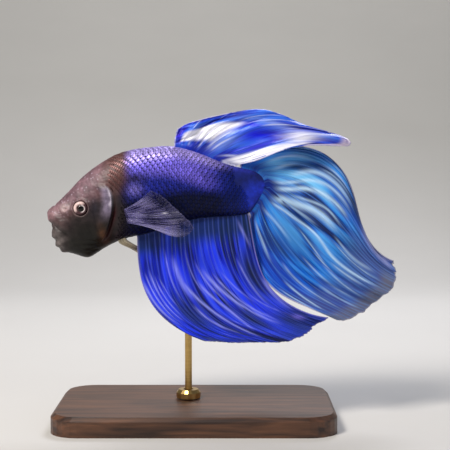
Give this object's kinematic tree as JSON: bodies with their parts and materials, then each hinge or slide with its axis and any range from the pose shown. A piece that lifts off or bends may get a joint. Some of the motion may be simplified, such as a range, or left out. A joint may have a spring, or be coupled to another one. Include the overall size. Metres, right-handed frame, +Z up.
{
  "type": "betta fish model",
  "caption": "Life-size still model of a male veil-tailed betta fish with flowing blue fins, held on a small walnut and brass display stand.",
  "frame": {"origin": "middle of the display stand's underside", "axes": "+Z up; -X towards the fish's snout and +X towards its tail; -Y towards the fish's left side"},
  "size_m": [0.0745, 0.036, 0.0653],
  "materials": {
    "scaled_skin": "painted fish skin with iridescent scales, satin",
    "gill_cover_skin": "painted fish skin, smooth and pearly",
    "eye": "polished, over a painted iris",
    "blue_fin": "thin ribbed membrane, iridescent blue",
    "pale_fin": "thin ribbed membrane, half clear",
    "walnut": "oiled",
    "brass": "polished"
  },
  "bodies": {
    "root": {"head": "scaled_skin", "lower_jaw": "scaled_skin", "trunk": "scaled_skin", "tail_root": "scaled_skin", "gill_cover_left": "gill_cover_skin", "gill_cover_right": "gill_cover_skin", "eye_left": "eye", "eye_right": "eye", "dorsal_fin": "blue_fin", "caudal_fin": "blue_fin", "anal_fin": "blue_fin", "pectoral_fin_left": "pale_fin", "pectoral_fin_right": "pale_fin", "pelvic_fin_left": "pale_fin", "pelvic_fin_right": "pale_fin", "stand_base": "walnut", "stand_rod": "brass", "stand_collar": "brass"}
  },
  "joints": []
}
